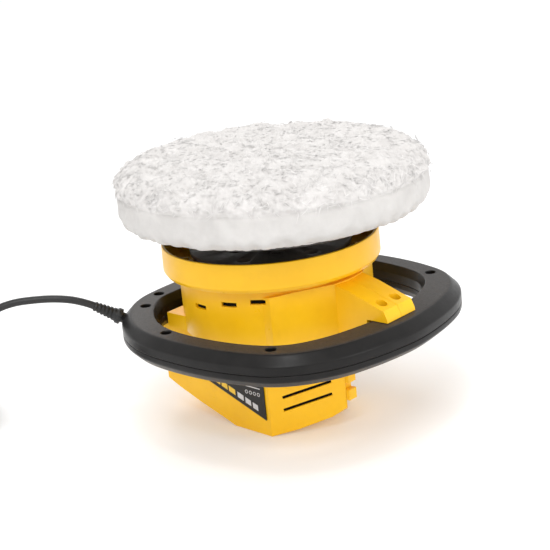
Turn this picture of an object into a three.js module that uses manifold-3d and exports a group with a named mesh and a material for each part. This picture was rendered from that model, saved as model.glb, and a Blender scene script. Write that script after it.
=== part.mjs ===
// Orbital car polisher, 240 mm pad, mains powered, shown pad up.
// Frame: origin on the motor axis, on the flat crown of the motor housing, which is
// the face the tool stands on here; +Z runs along the motor axis towards the pad,
// +X towards the front bridge of the handle loop. Millimetres.
import * as THREE from 'three';
import { ConvexGeometry } from 'three/addons/geometries/ConvexGeometry.js';
import { mergeVertices } from 'three/addons/utils/BufferGeometryUtils.js';
import Module from 'manifold-3d';

const wasm = await Module();
wasm.setup();

// ------------------------------------------------------------- driving dimensions
const GAP = 0.3;                 // running and mounting clearance between solids
const PAD_R = 121;               // bonnet outside radius
const PAD_TOP = 216.5;           // crown of the bonnet
const ORBIT = [4.2, 4.2];        // pad axis offset from the motor axis
const SKIRT_R = 86;              // outside radius of the round skirt
const SKIRT_Z = [128.6, 151.2];    // skirt floor underside, rim
const NECK_R = 74;               // round neck below the skirt
const LOOP_Z = [75, 100];        // handle loop underside, top
const LOOP_SPLIT = 85.5;         // parting line of the handle loop
const LOOP_W = 25;               // nominal width of the loop's section
const LOOP_WALL = 3;
const TOWER_NOSE = 65;           // front edge of the motor housing
const TOWER_CORNER = [25.5, 47]; // front corners of the motor housing
const TOWER_REAR = -101;
const WALL = 2.6;
const BLOCK_TOP = 124;           // top of the corner posts under the skirt
const BRIDGE_HALF = 17;        // half width of the front bridge
const SHAFT_R = 4;
const DISC_R = 64;               // balance disc
const CORD_R = 3;

const YELLOW = 0xf7bd12, BLACK = 0x2b2a2b, DARK = 0x1c1c1d, STEEL = 0xb9bcc0,
  COPPER = 0xb5662c, BRASS = 0xc9a44a, WHITE = 0xefece8, FOAM = 0x3a3c40;

// ------------------------------------------------------------- helpers
const mats = {
  housing: [YELLOW, 0.38, 0], grip: [BLACK, 0.55, 0], inner: [DARK, 0.6, 0],
  steel: [STEEL, 0.35, 1], bearing: [STEEL, 0.2, 1], copper: [COPPER, 0.4, 1],
  brass: [BRASS, 0.35, 1], fleece: [WHITE, 0.95, 0], foam: [FOAM, 0.95, 0],
  cord: [0x141414, 0.6, 0], carbon: [0x2e2e30, 0.8, 0], screw: [0x3c3d3f, 0.45, 1],
};
const group = new THREE.Group();

function clean(geometry) {
  const g = geometry.index ? geometry.clone() : geometry;
  g.deleteAttribute('normal');
  g.deleteAttribute('uv');
  return mergeVertices(g, 1e-4);
}
function solid(geometry) {
  const g = clean(geometry);
  return new wasm.Manifold(new wasm.Mesh({
    numProp: 3,
    vertProperties: new Float32Array(g.attributes.position.array),
    triVerts: new Uint32Array(g.index.array),
  }));
}
function toGeometry(m) {
  const mesh = m.getMesh();
  const g = new THREE.BufferGeometry();
  const pos = [];
  for (let i = 0; i < mesh.numVert; i++) {
    pos.push(mesh.vertProperties[i * mesh.numProp], mesh.vertProperties[i * mesh.numProp + 1],
      mesh.vertProperties[i * mesh.numProp + 2]);
  }
  g.setAttribute('position', new THREE.Float32BufferAttribute(pos, 3));
  g.setIndex(Array.from(mesh.triVerts));
  return g;
}
function put(name, what, finish, parent = group) {
  const geometry = what.getMesh ? toGeometry(what) : what;
  const [color, roughness, metalness] = mats[finish];
  const mesh = new THREE.Mesh(geometry,
    new THREE.MeshStandardMaterial({ color, roughness, metalness }));
  mesh.name = name;
  parent.add(mesh);
  return mesh;
}
const move = (g, x, y, z) => g.translate(x, y, z);
// upright cylinder from z0 to z1
function cyl(r, z0, z1, x = 0, y = 0, n = 24, r2 = r) {
  const g = new THREE.CylinderGeometry(r2, r, z1 - z0, n);
  g.rotateX(Math.PI / 2);
  return move(g, x, y, (z0 + z1) / 2);
}
function boxAt(x0, x1, y0, y1, z0, z1) {
  return move(new THREE.BoxGeometry(x1 - x0, y1 - y0, z1 - z0), (x0 + x1) / 2, (y0 + y1) / 2, (z0 + z1) / 2);
}
// closed profile [r, z] turned about Z
function lathe(profile, n = 48, x = 0, y = 0) {
  const pts = profile.map(([r, z]) => new THREE.Vector2(r, z));
  const g = new THREE.LatheGeometry(pts, n);
  g.rotateX(Math.PI / 2);
  return move(g, x, y, 0);
}
// ring or disc section between r0..r1 and z0..z1
const tube = (r0, r1, z0, z1, n = 32, x = 0, y = 0) =>
  solid(cyl(r1, z0, z1, x, y, n)).subtract(solid(cyl(r0, z0 - 1, z1 + 1, x, y, n)));
// plan outline [[x, y], ...] raised from z0 to z1
function plan(points, z0, z1) {
  const s = new THREE.Shape(points.map(([x, y]) => new THREE.Vector2(x, y)));
  return move(new THREE.ExtrudeGeometry(s, { depth: z1 - z0, bevelEnabled: false }), 0, 0, z0);
}
// side outline [[x, z], ...] spread over y0..y1
function side(points, y0, y1) {
  const s = new THREE.Shape(points.map(([x, z]) => new THREE.Vector2(x, z)));
  const g = new THREE.ExtrudeGeometry(s, { depth: y1 - y0, bevelEnabled: false });
  g.rotateX(Math.PI / 2);               // (x, y, d) -> (x, -d, y)
  return move(g, 0, y1, 0);
}
const hull = (pts) => new ConvexGeometry(pts.map((p) => new THREE.Vector3(...p)));
const mirrorY = (pts) => [...pts, ...pts.slice().reverse().map(([x, y]) => [x, -y])]
  .filter((p, i, a) => i === 0 || Math.hypot(p[0] - a[i - 1][0], p[1] - a[i - 1][1]) > 1e-6);
function join(list) { return list.reduce((a, b) => a.add(b)); }

// ------------------------------------------------------------- handle loop centreline and section
// paired stations on the inside and outside walls, rear to front
const LOOP_IN = [[-79, 0], [-79, 28], [-77.5, 48], [-68.5, 64], [-56, 77.5], [-38.5, 90.5], [-19, 98], [5, 101], [36, 99.5],
  [60, 94.5], [76, 87.5], [88, 76], [97.5, 56], [102.5, 37], [106, 17], [107, 0]];
const LOOP_OUT = [[-107, 0], [-106.5, 31], [-102, 59], [-91, 81.5], [-74, 99.5], [-51.5, 113.5], [-26, 122], [3, 125], [38, 124.5],
  [68, 119.5], [92, 111.5], [111, 96], [126.5, 72], [135.5, 43.5], [140, 15.5], [141, 0]];
const closed = (half) => new THREE.CatmullRomCurve3(
  [...half, ...half.slice(1, -1).reverse().map(([x, y]) => [x, -y])].map(([x, y]) => new THREE.Vector3(x, y, 0)), true, 'centripetal');
const loopIn = closed(LOOP_IN), loopOut = closed(LOOP_OUT);
const LOOP_N = 40;
// outline at a distance from the middle of the section, scaled with the local width
function loopOutline(offset) {
  const out = [];
  for (let i = 0; i < LOOP_N; i++) {
    const p = loopIn.getPoint(i / LOOP_N).lerp(loopOut.getPoint(i / LOOP_N), 0.5 + offset / LOOP_W);
    out.push([p.x, p.y]);
  }
  return out;
}
function loopSlab(outer, inner, z0, z1, taperOut = 0, taperIn = 0) {
  // section that narrows towards z1 by taperOut outside and taperIn inside
  const a = loopOutline(outer), b = loopOutline(inner), c = loopOutline(outer - taperOut), d = loopOutline(inner + taperIn);
  const pos = [], idx = [], n = LOOP_N;
  for (const [ring, z] of [[a, z0], [b, z0], [c, z1], [d, z1]]) for (const [x, y] of ring) pos.push(x, y, z);
  const q = (i, j, k, l) => idx.push(i, j, k, i, k, l);
  for (let i = 0; i < n; i++) {
    const j = (i + 1) % n;
    q(i, 2 * n + i, 2 * n + j, j);                 // outside
    q(n + i, n + j, 3 * n + j, 3 * n + i);         // inside
    q(i, j, n + j, n + i);                         // z0
    q(2 * n + i, 3 * n + i, 3 * n + j, 2 * n + j); // z1
  }
  const g = new THREE.BufferGeometry();
  g.setAttribute('position', new THREE.Float32BufferAttribute(pos, 3));
  g.setIndex(idx);
  const m = solid(g);
  if (m.volume() > 0) return m;
  const f = g.clone();
  const w = [];
  for (let i = 0; i < idx.length; i += 3) w.push(idx[i], idx[i + 2], idx[i + 1]);
  f.setIndex(w);
  return solid(f);
}
// ------------------------------------------------------------- motor housing clamshell
const sideY = (x, inset = 0) => TOWER_CORNER[1] + 0.0498 * (x - TOWER_CORNER[0]) - inset;
function towerPlan(inset) {
  const k = inset;
  return mirrorY([
    [TOWER_NOSE - 1.45 * k, 0.001], [TOWER_CORNER[0] - 0.45 * k, TOWER_CORNER[1] - k],
    [-91, sideY(-91, k)], [TOWER_REAR + k, 28],
  ]).reverse();
}
const towerSide = (k) => [
  [TOWER_REAR - 1, 74.6 - k], [TOWER_REAR - 1, 37 + k], [-97 + k, 28.5 + k], [-78, 20.5 + k], [-55, 12.5 + k], [-27, 4 + k], [-15, k],
  [TOWER_CORNER[0], k], [40, 3 + k], [57, 9.2 + k], [TOWER_NOSE + 1, 16.5 + k], [TOWER_NOSE + 1, 86 + k],
  [-63.4 + k, 86 + k], [-63.4 + k, 74.6 - k]];
const tower = solid(plan(towerPlan(0), -5, 90)).intersect(solid(side(towerSide(0), -80, 80)));
const towerCavity = solid(plan(towerPlan(WALL), -5, 120)).intersect(solid(side(
  towerSide(WALL).map(([x, z]) => [Math.min(x, TOWER_NOSE - 4), z]), -80, 80)));

// upper block: round neck, flat flanks and corner posts
const blockPlan = mirrorY([[79, 0.001], [77, 17], [55, 56.5], [49.5, 60.5], [-38, 61.5], [-63.4, 60]]).reverse();
const blockCut = side([[-90, 80], [-90, 93], [-38, 94], [0, 106], [34, BLOCK_TOP - 4], [60, BLOCK_TOP], [90, BLOCK_TOP], [90, 80]], -90, 90);
const block = solid(plan(blockPlan, 82, 140)).intersect(solid(blockCut));
const neck = solid(cyl(NECK_R, 82, SKIRT_Z[0] - GAP, 0, 0, 64));
const bridge = solid(side([[60, 82], [106.6, 82], [106.6, 100.4], [125, 100.4], [124.6, 103], [121.6, 109.4], [117, 110.8],
  [92, 119.6], [74, 124], [60, 125.5]], -BRIDGE_HALF, BRIDGE_HALF));
const neckCavity = solid(cyl(68, 103, SKIRT_Z[0] + 5, 0, 0, 48));
const blockCavity = solid(cyl(57, 84, 104, 0, 0, 40));
const loopClear = loopSlab(LOOP_W / 2 + GAP, -LOOP_W / 2 - GAP, LOOP_Z[0] - GAP, LOOP_Z[1] + GAP);
const bridgeCavity = solid(side([[72, 86], [103.6, 86], [103.6, 103.4], [104, 110.8], [80, 118.5], [72, 120]],
  -BRIDGE_HALF + WALL, BRIDGE_HALF - WALL));

// vents: slanted louvre slots on both front faces, three slots under the ledge each side
const vents = [];
const faceDir = [TOWER_NOSE - TOWER_CORNER[0], -TOWER_CORNER[1]];
const faceAng = Math.atan2(faceDir[1], faceDir[0]);
for (const s of [1, -1]) {
  for (const zc of [24.5, 35, 45.5, 56]) {
    const b = new THREE.BoxGeometry(40, 16, 2.6);
    b.rotateY(-0.2);
    b.rotateZ(s * faceAng);
    move(b, (TOWER_NOSE + TOWER_CORNER[0]) / 2, s * TOWER_CORNER[1] / 2, zc);
    vents.push(solid(b));
  }
  for (const [x, y, z, w] of [[-11, 73, 110.4, 13], [18, 71.6, 115.8, 13], [39.6, 62.4, 118.3, 12]]) {
    const b = new THREE.BoxGeometry(w, 18, 3.6);
    b.rotateZ(s * (Math.atan2(y, x) - Math.PI / 2));
    move(b, x, s * y, z);
    vents.push(solid(b));
  }
}
const RING_SCREWS = [
  ['a', -89, 43], ['b', -76.5, 70], ['c', -15.5, 107.5], ['d', 81, 97.5]];
const BRIDGE_SCREW = [113.5, 8.2];
const SKIRT_SCREW_R = 71;
const skirtScrews = [30, 150, 270].map((d) => [SKIRT_SCREW_R * Math.cos(d * Math.PI / 180), SKIRT_SCREW_R * Math.sin(d * Math.PI / 180)]);
const HALF_SCREWS = [[-86, 29], [-58.4, 93], [68, 92]];   // clamshell screws, x and z

const outer = join([tower, block, neck, bridge]).subtract(loopClear);
let shell = outer;
const shellBosses = join([
  ...HALF_SCREWS.map(([x, z]) => {
    const g = new THREE.CylinderGeometry(4.6, 4.6, z > 90 && x > 0 ? 26 : (z > 90 ? 110 : 76), 20);
    return solid(move(g, x, 0, z));
  }),
  solid(cyl(14, 1.2, 20, 0, 0, 24)),
]);
shell = shell.subtract(towerCavity).subtract(neckCavity).subtract(blockCavity).subtract(bridgeCavity);
shell = shell.add(shellBosses.intersect(outer));
for (const v of vents) shell = shell.subtract(v);
// lower bearing seat, clamshell screw holes, skirt and bridge screw holes
shell = shell.subtract(solid(cyl(11.3, 10, 21, 0, 0, 32))).subtract(solid(cyl(6, 4, 12, 0, 0, 24)));
for (const [x, z] of HALF_SCREWS) {
  const g = new THREE.CylinderGeometry(1.9, 1.9, 100, 12);
  shell = shell.subtract(solid(move(g, x, 48, z)));
  const far = x > 0 ? 20 : 40;
  const c = new THREE.CylinderGeometry(3.6, 3.6, 80, 16);
  shell = shell.subtract(solid(move(c, x, far - 8 + 40, z)));
}
for (const [x, y] of skirtScrews) shell = shell.subtract(solid(cyl(1.8, 118, 131, x, y, 12)));
for (const s of [1, -1]) {
  shell = shell.subtract(solid(cyl(2.0, 98, 118, BRIDGE_SCREW[0], s * BRIDGE_SCREW[1], 12)))
    .subtract(solid(cyl(4.3, 106, 118, BRIDGE_SCREW[0], s * BRIDGE_SCREW[1], 20)));
}
// the crown's centre is one piece: a tongue of the left half in a slot of the right one
const tongue = shell.intersect(solid(boxAt(-8, 8, -1, 6, -1, 2.5)));
put('housing_left', shell.intersect(solid(boxAt(-200, 200, -200, -GAP / 2, -50, 250))).add(tongue), 'housing');
// screw ear beside the nose, notched
const ear = solid(boxAt(56, 68, GAP / 2, 9, 21.6, 46)).subtract(solid(boxAt(63, 70, -1, 10, 30, 36)));
put('housing_right', shell.add(ear).intersect(solid(boxAt(-200, 200, GAP / 2, 200, -50, 250)))
  .subtract(solid(boxAt(-8 - GAP, 8 + GAP, -1, 6 + GAP, -2, 2.5 + GAP))), 'housing');
HALF_SCREWS.forEach(([x, z], i) => {
  const far = x > 0 ? 12 : 32;
  const head = new THREE.CylinderGeometry(3.2, 3.2, 2.4, 10);
  const shank = new THREE.CylinderGeometry(1.6, 1.6, far + 1.4, 8);
  put(`housing_screw_${i + 1}`, solid(move(head, x, far + 1.6, z)).add(solid(move(shank, x, far / 2 + 0.2, z))), 'screw');
});

// ------------------------------------------------------------- skirt
const SK = SKIRT_Z;
let skirt = solid(lathe([[60, SK[0] - 8], [67.6, SK[0] - 8], [67.6, SK[0]], [SKIRT_R - 2, SK[0]], [SKIRT_R, SK[0] + 3],
  [SKIRT_R - 0.4, SK[1]], [SKIRT_R - 2.8, SK[1]], [SKIRT_R - 3, SK[0] + 3], [63, SK[0] + 3], [63, SK[0] - 4],
  [60, SK[0] - 4], [60, SK[0] - 8]], 36));
for (let i = 0; i < 12; i++) {
  const a = i * Math.PI / 6;
  const b = new THREE.BoxGeometry(19, 1.8, 6);
  move(b, 75, 0, SK[0] + 5);
  b.rotateZ(a + 0.2);
  skirt = skirt.add(solid(b));
}
for (const [x, y] of skirtScrews) {
  skirt = skirt.subtract(solid(cyl(4.2, SK[0] + 3, SK[0] + 10, x, y, 16))).subtract(solid(cyl(1.8, SK[0] - 1, SK[0] + 5, x, y, 12)));
}
put('base_skirt', skirt, 'housing');
skirtScrews.forEach(([x, y], i) => put(`skirt_screw_${i + 1}`,
  solid(cyl(3.2, SK[0] + 3 + GAP, SK[0] + 5.5, x, y, 10)).add(solid(cyl(1.5, 120, SK[0] + 4, x, y, 8))), 'screw'));

// ------------------------------------------------------------- handle loop shells
const H = LOOP_W / 2;
const upSplit = LOOP_SPLIT + GAP / 2, lowSplit = LOOP_SPLIT - GAP / 2;
let ringUpper = loopSlab(H, -H, upSplit, 92.5).add(loopSlab(H, -H, 92.5, LOOP_Z[1], 6.4, 2.6));
ringUpper = ringUpper.subtract(loopSlab(H - LOOP_WALL, -H + LOOP_WALL, LOOP_SPLIT - 2, LOOP_Z[1] - LOOP_WALL, 5.4, 2));
let ringLower = loopSlab(H, -H, 81, lowSplit).add(loopSlab(H - 5.5, -H + 4, LOOP_Z[0], 81, -5.5, -4));
ringLower = ringLower.subtract(loopSlab(H - LOOP_WALL - 4.5, -H + LOOP_WALL + 3, LOOP_Z[0] + LOOP_WALL, LOOP_SPLIT + 2, -4.5, -3));
const ringScrewXY = [];
for (const [k, x, y] of RING_SCREWS) for (const [s, side_] of [[-1, 'l'], [1, 'r']]) ringScrewXY.push([`${k}_${side_}`, x, s * y]);
const bossXY = [...ringScrewXY.map(([, x, y]) => [x, y]), [BRIDGE_SCREW[0] + 1, BRIDGE_SCREW[1]], [BRIDGE_SCREW[0] + 1, -BRIDGE_SCREW[1]]];
for (const [x, y] of bossXY) {
  ringUpper = ringUpper.add(solid(cyl(5.4, upSplit, LOOP_Z[1] - 1, x, y, 12)));
  ringLower = ringLower.add(solid(cyl(4.6, LOOP_Z[0] + 1, lowSplit, x, y, 12)));
}
for (const [, x, y] of ringScrewXY) {
  ringUpper = ringUpper.subtract(solid(cyl(4.1, 94, 101, x, y, 12))).subtract(solid(cyl(2.0, 84, 95, x, y, 8)));
  ringLower = ringLower.subtract(solid(cyl(1.8, 78.2, 89, x, y, 8)));
}
for (const s of [1, -1]) ringUpper = ringUpper.subtract(solid(cyl(1.8, 89.5, 101, BRIDGE_SCREW[0], s * BRIDGE_SCREW[1], 12)));
// cord exit through the rear left corner, along the exit direction
const EXIT = new THREE.Vector3(-90, -80.7, 90.5);
const EXIT_DIR = new THREE.Vector3(-0.60, -0.66, 0.52).normalize();
function along(r0, r1, d0, d1, n = 16) {
  const g = new THREE.CylinderGeometry(r1, r0, d1 - d0, n);
  g.translate(0, (d0 + d1) / 2, 0);
  g.applyQuaternion(new THREE.Quaternion().setFromUnitVectors(new THREE.Vector3(0, 1, 0), EXIT_DIR));
  return g.translate(EXIT.x, EXIT.y, EXIT.z);
}
const exitHole = solid(along(4.6, 4.6, -9, 12));
ringUpper = ringUpper.subtract(exitHole);
ringLower = ringLower.subtract(exitHole);
// rocker switch pocket in the underside, rear right
const SW = new THREE.Vector3(-41, 103.6, LOOP_Z[0]);
const SW_ANG = 0.43;
function swBox(w, d, z0, z1) {
  const b = new THREE.BoxGeometry(w, d, z1 - z0);
  b.rotateZ(SW_ANG);
  return move(b, SW.x, SW.y, (z0 + z1) / 2);
}
ringLower = ringLower.add(solid(swBox(30, 17.4, LOOP_Z[0], 82)).subtract(solid(swBox(21.4, 13.4, 70, 90))));
ringLower = ringLower.subtract(solid(swBox(21.4, 13.4, 70, 90)));
put('ring_upper_shell', ringUpper, 'grip');
put('ring_lower_shell', ringLower, 'grip');
for (const [k, x, y] of ringScrewXY) {
  put(`ring_screw_${k}`, solid(cyl(3.5, 94 + GAP, 96.6, x, y, 10)).add(solid(cyl(1.5, 80, 95, x, y, 8))), 'screw');
}
for (const s of [1, -1]) {
  put(`bridge_screw_${s < 0 ? 'l' : 'r'}`,
    solid(cyl(3.6, 106 + GAP, 108.8, BRIDGE_SCREW[0], s * BRIDGE_SCREW[1], 10)).add(
      solid(cyl(1.5, 91, 107, BRIDGE_SCREW[0], s * BRIDGE_SCREW[1], 8))), 'screw');
}

// rocker switch: case fixed in the pocket, rocker on its own pivot
const swCase = solid(swBox(20.8, 12.8, LOOP_Z[0] + 0.4, 86)).subtract(solid(swBox(18.4, 10.6, 70, 83.6)));
put('switch_case', swCase, 'inner');
const rockSide = [[-8.6, 75.4], [-8.2, 73.4], [0, 75.6], [8.2, 74.6], [8.6, 76.6], [6, 79], [2.5, 80.6], [-2.5, 80.6], [-6, 79]];
const rocker = side(rockSide, -4.7, 4.7);
rocker.rotateZ(SW_ANG);
move(rocker, SW.x, SW.y, 0);
put('switch_rocker', rocker, 'inner');

// ------------------------------------------------------------- name panels on the flanks
for (const s of [-1, 1]) {
  const q = [[22, 13], [22, 66], [-44, 66], [-44, 35]];
  const s2 = new THREE.Shape(q.map(([x, z]) => new THREE.Vector2(x, z)));
  const g = new THREE.ExtrudeGeometry(s2, { depth: 0.8, bevelEnabled: false });
  g.rotateX(Math.PI / 2);
  g.rotateZ(s * Math.atan(0.0498));
  // shift so that the panel lies 0.3 mm off the flank
  const y0 = sideY(0) + GAP;
  g.translate(0, s > 0 ? y0 + 0.8 + 0.02 : -y0 - 0.02, 0);
  put(s < 0 ? 'name_panel_left' : 'name_panel_right', solid(g), 'inner');
}

// ------------------------------------------------------------- motor, fixed side
put('lower_bearing', tube(SHAFT_R + GAP, 11, 10.4, 17.4, 16), 'bearing');
const seat = solid(cyl(67.3, 103 + GAP, 106, 0, 0, 32)).subtract(solid(cyl(28, 90, 110, 0, 0, 24)));
let bracket = seat.add(tube(11.3, 15, 97, 107.5, 24));
for (let i = 0; i < 4; i++) {
  const b = new THREE.BoxGeometry(20, 7, 5);
  move(b, 22, 0, 103.5);
  b.rotateZ(i * Math.PI / 2 + Math.PI / 4);
  bracket = bracket.add(solid(b));
}
for (const d of [30, 90, 150, 210, 270, 330]) {
  bracket = bracket.subtract(solid(cyl(9, 94, 111, 48 * Math.cos(d * Math.PI / 180), 48 * Math.sin(d * Math.PI / 180), 8)));
}
put('bearing_bracket', bracket, 'inner');
put('upper_bearing', tube(SHAFT_R + GAP, 11, 99, 106, 16), 'bearing');
const stator = tube(19, 29, 42, 72, 24);
put('stator_core', stator, 'steel');
for (const s of [1, -1]) {
  const coil = solid(cyl(28.5, 72 + GAP, 78, 0, 0, 32)).subtract(solid(cyl(19.5, 70, 80, 0, 0, 32)))
    .intersect(solid(boxAt(-40, 40, s > 0 ? 5 : -40, s > 0 ? 40 : -5, 60, 90)));
  put(s > 0 ? 'field_coil_right' : 'field_coil_left', coil, 'copper');
  const bh = solid(boxAt(-6, 6, s > 0 ? 13.5 : -31, s > 0 ? 31 : -13.5, 25, 37)).subtract(
    solid(boxAt(-3.4, 3.4, s > 0 ? 12 : -33, s > 0 ? 33 : -12, 27.2, 34.8)));
  put(s > 0 ? 'brush_holder_right' : 'brush_holder_left', bh, 'brass');
  put(s > 0 ? 'carbon_brush_right' : 'carbon_brush_left',
    boxAt(-3, 3, s > 0 ? 11.4 : -26, s > 0 ? 26 : -11.4, 27.6, 34.4), 'carbon');
}

// ------------------------------------------------------------- rotor
put('motor_shaft', cyl(SHAFT_R, 8, 122, 0, 0, 24), 'steel');
put('armature_core', tube(SHAFT_R + GAP, 17.5, 43, 71, 24), 'steel');
put('armature_winding_low', tube(SHAFT_R + 1, 15.5, 39, 43 - GAP, 18), 'copper');
put('armature_winding_high', tube(SHAFT_R + 1, 15.5, 71 + GAP, 77, 18), 'copper');
put('commutator', tube(SHAFT_R + GAP, 11, 25, 38.4, 20), 'copper');
let fan = tube(SHAFT_R + GAP, 9, 80, 90, 24).add(solid(cyl(31, 88.5, 90, 0, 0, 24)).subtract(solid(cyl(8, 80, 95, 0, 0, 24))));
for (let i = 0; i < 6; i++) {
  const b = new THREE.BoxGeometry(21, 1.6, 8);
  move(b, 19.4, 0, 85);
  b.rotateZ(i * Math.PI / 3);
  fan = fan.add(solid(b));
}
put('cooling_fan', fan, 'inner');
// counterweight sector opposite to the pad axis
let cw = solid(cyl(44, 109, 115, 0, 0, 28)).intersect(
  solid(plan([[0, 0], [-70, 30], [-70, -70], [30, -70]], 100, 125)));
cw = cw.add(solid(cyl(11, 109, 115, 0, 0, 20))).subtract(solid(cyl(SHAFT_R + GAP, 100, 120, 0, 0, 24)));
put('counterweight', cw, 'steel');
let hub = solid(cyl(24, 115 + GAP, 134, 0, 0, 28)).subtract(solid(cyl(SHAFT_R + GAP, 110, 122.4, 0, 0, 16)))
  .subtract(solid(cyl(11.4, 124, 136, ORBIT[0], ORBIT[1], 20)));
put('eccentric_hub', hub, 'steel');
put('pad_bearing', tube(5.3, 11, 124.4, 131.4, 16, ORBIT[0], ORBIT[1]), 'bearing');
let disc = solid(cyl(DISC_R, 141, 144.5, 0, 0, 32)).add(solid(cyl(24, 134 + GAP, 141.5, 0, 0, 24)))
  .subtract(solid(cyl(19, 130, 150, 0, 0, 20)));
for (let i = 0; i < 6; i++) {
  const a = i * Math.PI / 3 + 0.35;
  disc = disc.subtract(solid(cyl(5.6, 138, 148, 34 * Math.cos(a), 34 * Math.sin(a), 8)));
  disc = disc.subtract(solid(cyl(5.6, 138, 148, 52 * Math.cos(a + 0.5), 52 * Math.sin(a + 0.5), 8)));
}
put('balance_disc', disc, 'inner');

// ------------------------------------------------------------- pad
const [OX, OY] = ORBIT;
put('pad_spindle', solid(cyl(5, 125, 162, OX, OY, 24)).add(solid(cyl(8, 133, 146, OX, OY, 24))), 'steel');
put('backing_plate', solid(cyl(90, 162 + GAP, 166, OX, OY, 32)).add(solid(cyl(16, 147, 163, OX, OY, 28)))
  .subtract(solid(cyl(5.3, 140, 162.2, OX, OY, 24))).subtract(solid(cyl(2.4, 140, 170, OX, OY, 16))), 'inner');
put('pad_washer', tube(2.6, 9, 166 + GAP, 167.8, 24, OX, OY), 'steel');
put('pad_screw', solid(cyl(5, 167.8 + GAP, 171.4, OX, OY, 20)).add(solid(cyl(2.1, 162.6, 169, OX, OY, 14))), 'screw');
put('foam_pad', lathe([[13, 166 + GAP], [90, 166 + GAP], [97, 172.5], [111, 174.6], [115.9, 179.4], [117.4, 184], [117.4, 200],
  [115.3, 204.6], [108.6, 208.7], [90, 211.4], [13, 212.9], [13, 166 + GAP]], 32, OX, OY), 'foam');
put('bonnet', lathe([[0, PAD_TOP], [0, 213.3], [90, 211.8], [109, 209], [115.6, 205], [117.8, 200], [117.8, 184],
  [117.2, 180], [112.6, 173.6], [106, 171.4], [105.6, 170], [109, 168.9], [114.5, 170], [119, 174.2], [PAD_R - 0.6, 179],
  [PAD_R, 184], [PAD_R, 199], [118.5, 207.5], [110, 212.6], [90, 215.2], [0, PAD_TOP]], 32, OX, OY), 'fleece');

// ------------------------------------------------------------- cord
const bootShape = [[3.3, -8], [4.2, -8], [4.2, 4], [6.4, 4], [6.0, 8], [5.0, 8.2], [3.9, 27], [3.3, 27], [3.3, -8]];
const boot = new THREE.LatheGeometry(bootShape.map(([r, d]) => new THREE.Vector2(r, d)), 12);
boot.applyQuaternion(new THREE.Quaternion().setFromUnitVectors(new THREE.Vector3(0, 1, 0), EXIT_DIR));
put('strain_relief', boot.translate(EXIT.x, EXIT.y, EXIT.z), 'cord');
const HEADING = new THREE.Vector2(-0.673, -0.74).normalize();
// arc of the free lead: distance out from the exit, height
const ARC = [[0, 0], [9, 5.25], [18, 10.5], [27, 15.7], [40, 20.8], [54, 23.6], [70, 24.7], [86, 24.2], [100, 20.6], [111, 13], [119, 2],
  [125, -12], [131, -29], [137, -45], [144, -59], [153, -71], [163, -79]];
const COIL = { x: -231.6, y: -167.3, r: 33, w: 9.3, z0: 0.3, z1: 24.7 };
const route = ARC.map(([d, h]) => [EXIT.x + HEADING.x * d, EXIT.y + HEADING.y * d, EXIT.z + h]);
// then round the coil, just outside it, down to the standing surface
for (const [deg, z] of [[-57, 5.4], [-73, 3.7], [-90, 3.3]]) {
  const a = deg * Math.PI / 180;
  route.push([COIL.x + 46.2 * Math.cos(a), COIL.y + 46.2 * Math.sin(a), z]);
}
const section = new THREE.Shape();
for (let i = 0; i <= 8; i++) {
  const a = i * Math.PI / 4;
  if (i === 0) section.moveTo(CORD_R, 0); else section.lineTo(CORD_R * Math.cos(a), CORD_R * Math.sin(a));
}
const lead = (points, steps) => new THREE.ExtrudeGeometry(section, {
  steps, bevelEnabled: false,
  extrudePath: new THREE.CatmullRomCurve3(points.map((p) => new THREE.Vector3(...p)), false, 'centripetal'),
});
put('cord_tube', lead(route, 24), 'cord');
put('cord_coil', lathe([[COIL.r - COIL.w, COIL.z0], [COIL.r + COIL.w, COIL.z0], [COIL.r + COIL.w, COIL.z1 - 4], [COIL.r + COIL.w - 4, COIL.z1],
  [COIL.r - COIL.w + 4, COIL.z1], [COIL.r - COIL.w, COIL.z1 - 4], [COIL.r - COIL.w, COIL.z0]], 24, COIL.x, COIL.y), 'cord');
const TURN = 25;                 // where the tail leaves the coil, degrees
const polar = (r, deg) => [COIL.x + r * Math.cos((deg + TURN) * Math.PI / 180), COIL.y + r * Math.sin((deg + TURN) * Math.PI / 180), 5];
put('cord_tail', lead([polar(46.2, 185), polar(47, 168), polar(48.8, 149), polar(51, 131.5)], 6), 'cord');

// plug lying beside the coil
const PLUG_AT = polar(51.3, 130.6);
const PLUG = { x: PLUG_AT[0], y: PLUG_AT[1], a: 0.93 + TURN * Math.PI / 180 };
const plugAt = (g) => { g.rotateZ(PLUG.a); return move(g, PLUG.x, PLUG.y, 0); };
put('plug_body', solid(plugAt(hull([[0, -4, 1], [0, 4, 1], [0, -4, 9], [0, 4, 9],
  [5, -9, 0.4], [5, 9, 0.4], [5, -8, 12], [5, 8, 12], [24, -16.5, 0.4], [24, 16.5, 0.4], [24, -15, 15.6], [24, 15, 15.6],
  [30, -16, 1], [30, 16, 1], [30, -14, 15], [30, 14, 15]]))), 'cord');
for (const s of [1, -1]) {
  const pin = new THREE.CylinderGeometry(2.0, 2.0, 19, 10);
  pin.rotateZ(Math.PI / 2);
  move(pin, 39.9, s * 9.5, 8);
  put(`plug_pin_${s > 0 ? 'a' : 'b'}`, plugAt(pin), 'brass');
}

export default group;
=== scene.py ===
# Looks for an orbital car polisher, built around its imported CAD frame. Metres, row frame.
import bpy, bmesh, math, random
import numpy as np
from mathutils import Vector, Matrix, Quaternion, noise


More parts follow.
